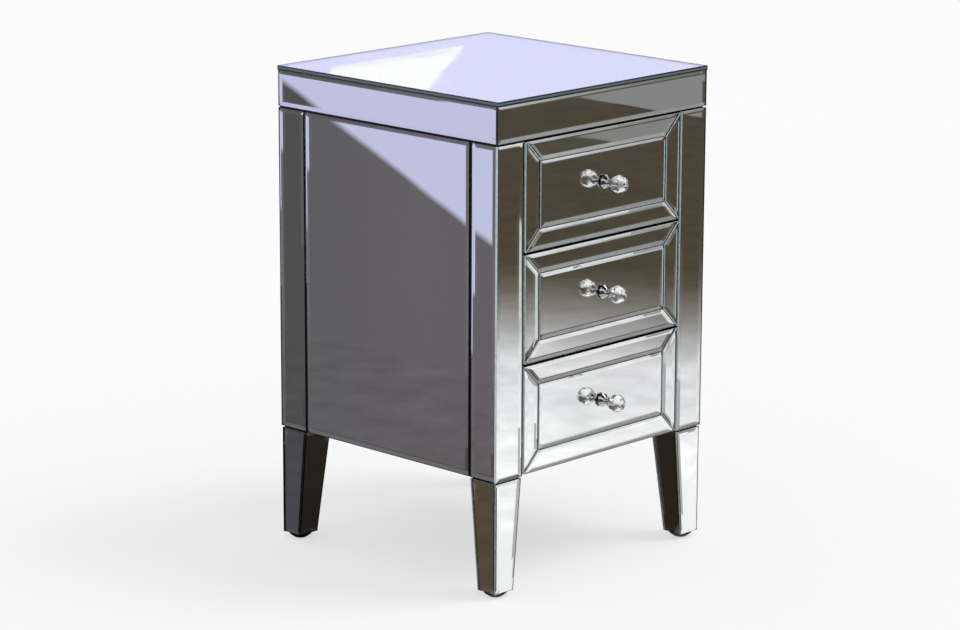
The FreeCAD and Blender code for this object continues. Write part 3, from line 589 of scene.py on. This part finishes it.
def weighed(tree, *terms):
    """The sum of coordinates, each times its weight."""
    total = None
    for source, weight in terms:
        step = tree.nodes.new("ShaderNodeMath")
        step.operation = "MULTIPLY_ADD"
        step.inputs[1].default_value = weight
        step.inputs[2].default_value = 0.0
        tree.links.new(source, step.inputs[0])
        if total is not None:
            tree.links.new(total, step.inputs[2])
        total = step.outputs["Value"]
    return total


def fall(tree, amount, start, end):
    """1 up to a start, 0 from an end on, and an even fall between them."""
    return spread(tree, amount, 1.0, 0.0, start, end)


def streak(tree, glow):
    """Mottles a floor card, which shows as faint streaks where a mirror sees it aslant."""
    tree.links.new(spread(tree, mottle(tree, scale=15.0, detail=6.0), low=0.86, high=1.10),
                   glow.inputs["Strength"])


dusk_start = 0.55
dusk_length = 0.5


def dusk(tree, along, start):
    """Shade that deepens towards the rear from its start."""
    return shades(tree, rise(tree, along, start, start + dusk_length),
                  (0.0, seen(0.404, 0.382, 0.40)),
                  (0.52, seen(0.402, 0.384, 0.401)),
                  (0.91, seen(0.384, 0.374, 0.386)),
                  (0.945, seen(0.324, 0.315, 0.32)))


bark = seen(0.325, 0.29, 0.235)
olive = seen(0.305, 0.28, 0.23)
grey = seen(0.53, 0.53, 0.53)
card_top = 2.2
card_lift = 0.0006
left_wall = -1.0
right_wall = 2.63
side_end = 3.0
far_left = -3.5
ground_left = -0.3
ground_near = -0.36
ground_far = -6.0

# The left card is lavender above a line that climbs towards the rear, and below it a painted shadow in
# dusky tones.
lavender = seen(0.775, 0.775, 0.90)
shadow_slope = 0.42
shadow_foot = 0.026
shadow_edge = 0.006
left_finish, tree, glow, at = card_finish("left_card")
over_shadow = weighed(tree, (at["Z"], 1.0), (at["Y"], -shadow_slope))
lit = rise(tree, over_shadow, -shadow_foot - shadow_edge, -shadow_foot + shadow_edge)
tree.links.new(blended(tree, lit, dusk(tree, at["Y"], dusk_start), lavender), glow.inputs["Color"])
card("left_card", upright((left_wall, ground_near), (left_wall, side_end), card_top), left_finish)

# The card under the chest is painted shade, the darkest of the floor cards.
under_half = 0.21
under_front = -0.16
under_rear = 0.24
dark_start = -0.2
dark_end = 0.5
under_finish, tree, glow, at = card_finish("under_card")
streak(tree, glow)
tree.links.new(shades(tree, rise(tree, at["Y"], dark_start, dark_end),
                      (0.0, seen(0.17, 0.15, 0.12)), (1.0, seen(0.10, 0.09, 0.085))),
               glow.inputs["Color"])
card("under_card", level((-under_half, under_front), (under_half, under_rear), card_lift), under_finish)

# The floor card on the left is brown beside the legs, slate further back, and dusky further out.
slate = seen(0.295, 0.285, 0.31)
leg_line = -0.60
leg_fade = 0.004
floor_slant = 1.05
slate_slant = 0.96
slate_start = -0.24
slate_end = -0.14
left_floor_finish, tree, glow, at = card_finish("left_floor_card")
streak(tree, glow)
over_floor = weighed(tree, (at["X"], floor_slant), (at["Y"], 1.0))
further_out = dusk(tree, over_floor, dusk_start + floor_slant * left_wall)
towards_rear = weighed(tree, (at["X"], slate_slant), (at["Y"], 1.0))
near_legs = shades(tree, rise(tree, towards_rear, slate_start, slate_end), (0.0, bark), (1.0, slate))
beside_legs = rise(tree, at["X"], leg_line - leg_fade, leg_line + leg_fade)
tree.links.new(blended(tree, beside_legs, further_out, near_legs), glow.inputs["Color"])
card("left_floor_card", level((left_wall, ground_near), (-under_half, side_end), card_lift),
     left_floor_finish)

# The floor card in front goes from white to olive, away from the chest and to the right: the olive is
# painted shade.
# A pale strip crosses its far part.
strip_grey = seen(0.80, 0.83, 0.825)
fade_x = 0.874
fade_y = -0.486
fade_length = 2.0
strip_x = 0.851
strip_y = 0.5275
strip_reach = 0.2
strip_start = 0.38
strip_end = 0.61
strip_fade = 0.03
strip_far = -1.08
strip_near = -0.93
ground_finish, tree, glow, at = card_finish("ground_card")
streak(tree, glow)
off = rise(tree, weighed(tree, (at["X"], fade_x), (at["Y"], fade_y)), 0.0, fade_length)
ground_tone = shades(tree, off,
                     (0.32, white),
                     (0.44, seen(0.915, 0.91, 0.925)),
                     (0.56, seen(0.90, 0.89, 0.905)),
                     (0.60, seen(0.83, 0.82, 0.83)),
                     (0.65, seen(0.71, 0.705, 0.71)),
                     (0.73, seen(0.56, 0.54, 0.525)),
                     (0.80, seen(0.45, 0.425, 0.395)),
                     (0.87, seen(0.345, 0.32, 0.275)),
                     (0.93, olive))
beside = rise(tree, weighed(tree, (at["X"], strip_x), (at["Y"], strip_y)), -strip_reach, strip_reach)
strip = combined(tree, "MULTIPLY", band(tree, beside, strip_start, strip_end, strip_fade),
                 fall(tree, at["Y"], strip_far, strip_near))
tree.links.new(blended(tree, strip, ground_tone, strip_grey), glow.inputs["Color"])
card("ground_card", level((ground_left, ground_far), (right_wall, ground_near), card_lift),
     ground_finish)

# Two small grey cards lie before the front legs and tone their bevels.
leg_near = 0.02
leg_lift = 2 * card_lift
leg_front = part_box("front_left_leg_mirrors")[0].y
leg_finish, tree, glow, at = card_finish("leg_card")
glow.inputs["Color"].default_value = seen(0.66, 0.665, 0.66)


def leg_card(name, start, end, slant, reach):
    """A floor card from start to end along a leg's front, led off to the right by its slant."""
    near = leg_front - leg_near
    far = leg_front - reach
    card(name, [(start + slant * leg_near, near, leg_lift), (start + slant * reach, far, leg_lift),
                (end + slant * reach, far, leg_lift), (end + slant * leg_near, near, leg_lift)],
         leg_finish)


leg_card("left_leg_card", start=-0.42, end=-0.197, slant=1.05, reach=0.62)
leg_card("right_leg_card", start=0.206, end=0.42, slant=1.19, reach=0.58)

# The floor card in front and further left is brown, and grey where it meets the one before the chest.
brown_start = -2.0
near_left_finish, tree, glow, at = card_finish("near_left_card")
streak(tree, glow)
tree.links.new(shades(tree, rise(tree, at["X"], brown_start, ground_left),
                      (0.0, seen(0.22, 0.20, 0.18)), (0.8, bark), (1.0, grey)), glow.inputs["Color"])
card("near_left_card", level((far_left, ground_far), (ground_left, ground_near), card_lift),
     near_left_finish)

# The right card goes from grey up to white, and is olive where it stands beside the chest.
cream = seen(0.97, 0.96, 0.92)
olive_start = -2.2
olive_end = -2.1
right_finish, tree, glow, at = card_finish("right_card")
up_tone = shades(tree, rise(tree, at["Z"], 0.0, card_top), (0.36, grey), (0.52, cream), (1.0, white))
nearer = rise(tree, at["Y"], olive_start, olive_end)
tree.links.new(blended(tree, nearer, up_tone, olive), glow.inputs["Color"])
card("right_card", upright((right_wall, ground_far), (right_wall, side_end), card_top), right_finish)

# The rear card is bright lavender, with a white patch of painted light that narrows as it goes up.
bright_lavender = seen(0.91, 0.915, 1.05)
bright_white = seen(1.06, 1.06, 1.06)
rear_wall = 1.6
rear_right = 4.0
patch_left = 1.21
patch_right = 2.935
patch_slant = 1.39
patch_edge = 0.012
patch_low = 0.976
patch_fade = 0.003
rear_finish, tree, glow, at = card_finish("rear_card")
slanted = weighed(tree, (at["X"], 1.0), (at["Z"], patch_slant))
patch = combined(tree, "MULTIPLY", rise(tree, at["X"], patch_left, patch_left + patch_edge),
                 fall(tree, slanted, patch_right, patch_right + patch_edge),
                 rise(tree, at["Z"], patch_low, patch_low + patch_fade))
tree.links.new(shades(tree, patch, (0.0, bright_lavender), (1.0, bright_white)), glow.inputs["Color"])
card("rear_card", upright((left_wall, rear_wall), (rear_right, rear_wall), card_top), rear_finish)

# The front card is dark, and darkest at its top.
front_wall = -3.0
front_right = 0.9
front_top = 1.5
front_finish, tree, glow, at = card_finish("front_card")
tree.links.new(shades(tree, rise(tree, at["Z"], 0.0, front_top),
                      (0.0, seen(0.26, 0.25, 0.23)), (1.0, seen(0.13, 0.13, 0.14))),
               glow.inputs["Color"])
card("front_card", upright((far_left, front_wall), (front_right, front_wall), front_top), front_finish)

# The card overhead is dark, with one white stripe of painted light across it.
canopy_dark = seen(0.15, 0.15, 0.175)
canopy_height = 1.6
canopy_left = -1.6
canopy_right = 0.9
canopy_far = -1.6
canopy_near = -0.45
stripe_start = 0.36
stripe_end = 0.41
stripe_fade = 0.02
canopy_finish, tree, glow, at = card_finish("canopy_card")
over = rise(tree, at["X"], canopy_left, canopy_right)
stripe = band(tree, over, stripe_start, stripe_end, stripe_fade)
tree.links.new(shades(tree, stripe, (0.0, canopy_dark), (1.0, white)), glow.inputs["Color"])
card("canopy_card", level((canopy_left, canopy_far), (canopy_right, canopy_near), canopy_height),
     canopy_finish)


# The light is plain and soft: an even white surround, and one broad sun from the front right.
# The camera, the mirrors and the crystal see the surround as plain white.
surround_light = 0.70
world = bpy.data.worlds.new("surround")
bpy.context.scene.world = world
world.use_nodes = True
tree = world.node_tree
fill = tree.nodes["Background"]
fill.inputs["Color"].default_value = white
fill.inputs["Strength"].default_value = surround_light
shown = tree.nodes.new("ShaderNodeBackground")
shown.inputs["Color"].default_value = white
shown.inputs["Strength"].default_value = 1.0
choice = tree.nodes.new("ShaderNodeMixShader")
tree.links.new(looked_at(tree), choice.inputs["Fac"])
tree.links.new(fill.outputs["Background"], choice.inputs[1])
tree.links.new(shown.outputs["Background"], choice.inputs[2])
tree.links.new(choice.outputs["Shader"], tree.nodes["World Output"].inputs["Surface"])

sun_way = Vector((-0.55, 0.5, -1.0))
sun = bpy.data.lights.new("broad_sun", "SUN")
sun.energy = 1.2
sun.angle = math.radians(28.0)
sun_object = bpy.data.objects.new("broad_sun", sun)
sun_object.rotation_euler = sun_way.to_track_quat("-Z", "Y").to_euler()
bpy.context.scene.collection.objects.link(sun_object)
bpy.context.scene.view_settings.view_transform = "Standard"


# The camera stands where the photograph was taken from: front left, a little above the top.
# Its place, aim, roll and lens are worked out from the corners of the chest.
camera_turn = math.radians(-46.231)
camera_rise = math.radians(13.611)
camera_roll = math.radians(0.230)
camera_distance = 4.545
camera_aim = Vector((-0.0132, 0.0268, 0.3090))
camera = bpy.data.cameras.new("camera")
camera.sensor_width = 36.0
camera.lens = 127.58
camera_object = bpy.data.objects.new("camera", camera)
bpy.context.scene.collection.objects.link(camera_object)
camera_object.matrix_world = (Matrix.Translation(camera_aim)
                              @ Matrix.Rotation(camera_turn, 4, "Z")
                              @ Matrix.Rotation(math.pi / 2 - camera_rise, 4, "X")
                              @ Matrix.Rotation(camera_roll, 4, "Z")
                              @ Matrix.Translation((0.0, 0.0, camera_distance)))
bpy.context.scene.camera = camera_object

bpy.context.view_layer.update()
